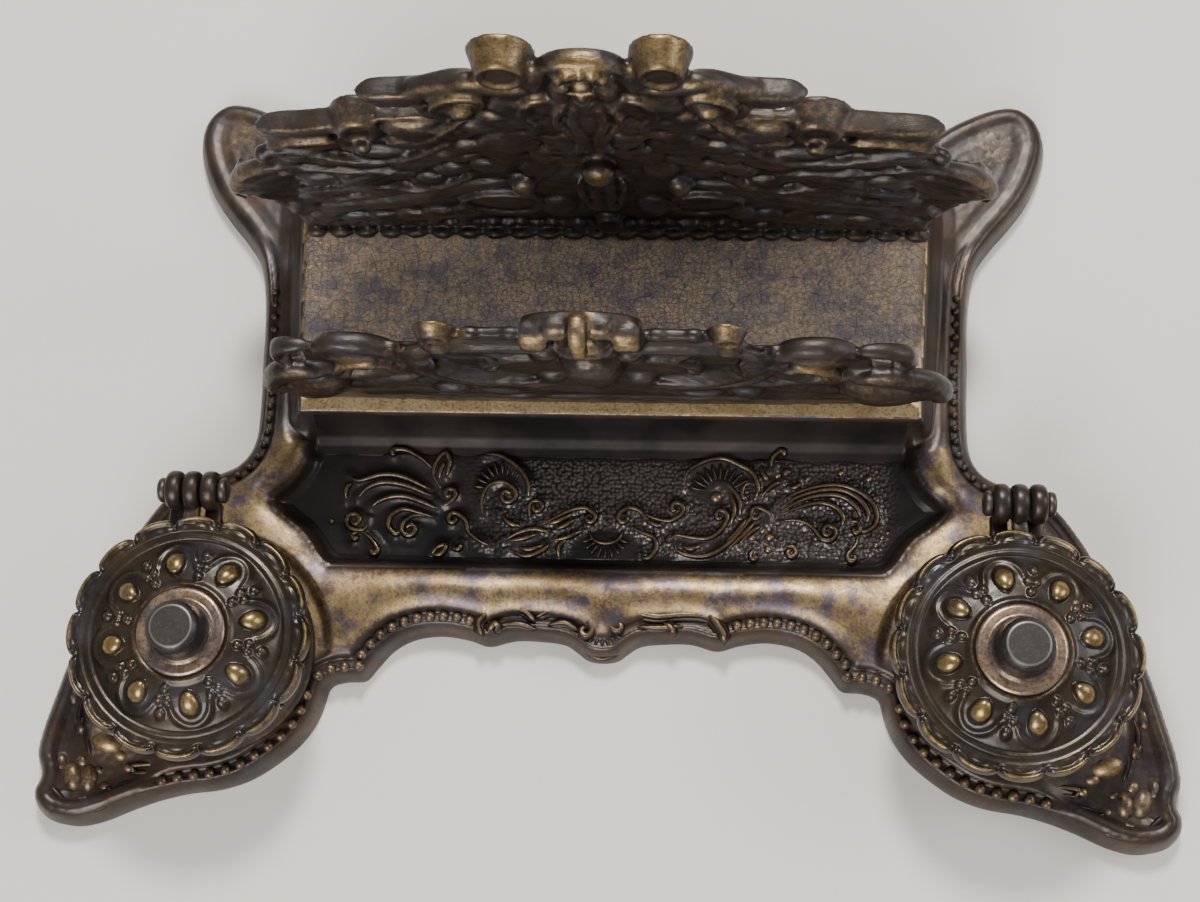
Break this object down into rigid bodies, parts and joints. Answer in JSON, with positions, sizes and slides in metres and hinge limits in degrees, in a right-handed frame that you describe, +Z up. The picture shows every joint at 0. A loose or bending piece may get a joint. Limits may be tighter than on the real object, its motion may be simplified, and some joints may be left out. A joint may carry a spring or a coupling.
{
  "type": "desk inkstand",
  "caption": "Cast bronze desk inkstand with pen tray, pierced letter racks and round inkwells under hinged domed lids with knobs.",
  "frame": {"origin": "centre of the bounding box in plan, on the table under the stand", "axes": "+X to the right along the pen tray, +Y from the tray to the back letter rack, +Z up"},
  "size_m": [0.2816, 0.196, 0.1066],
  "materials": {
    "cast_bronze": "dark brown-black patina rubbed through to brass on edges and high points",
    "worn_brass": "worn dull brass",
    "blackened_brass": "smooth blackened",
    "dark_steel": "dull, darkened with age",
    "clear_glass": "clear pressed glass"
  },
  "bodies": {
    "stand": {"stand": "cast_bronze", "back_rack": "cast_bronze", "front_rack": "cast_bronze", "back_rack_screw_left": "dark_steel", "back_rack_screw_right": "dark_steel", "front_rack_screw_left": "dark_steel", "front_rack_screw_right": "dark_steel", "left_well_cup": "cast_bronze", "right_well_cup": "cast_bronze", "left_well_nut": "dark_steel", "right_well_nut": "dark_steel", "left_ink_liner": "clear_glass", "right_ink_liner": "clear_glass", "left_hinge_bracket": "cast_bronze", "right_hinge_bracket": "cast_bronze", "left_hinge_pin": "dark_steel", "right_hinge_pin": "dark_steel"},
    "left_lid": {"left_lid": "cast_bronze", "left_lid_knuckle": "cast_bronze", "left_lid_collar": "worn_brass", "left_knob": "blackened_brass", "left_knob_nut": "dark_steel"},
    "right_lid": {"right_lid": "cast_bronze", "right_lid_knuckle": "cast_bronze", "right_lid_collar": "worn_brass", "right_knob": "blackened_brass", "right_knob_nut": "dark_steel"}
  },
  "joints": [
    {"name": "left_lid_hinge", "type": "hinge", "parent": "stand", "child": "left_lid", "pos_m": [-0.0988, -0.0194, 0.032], "axis": [-1, 0, 0], "range_deg": [0, 100]},
    {"name": "right_lid_hinge", "type": "hinge", "parent": "stand", "child": "right_lid", "pos_m": [0.0988, -0.0194, 0.032], "axis": [-1, 0, 0], "range_deg": [0, 100]}
  ]
}
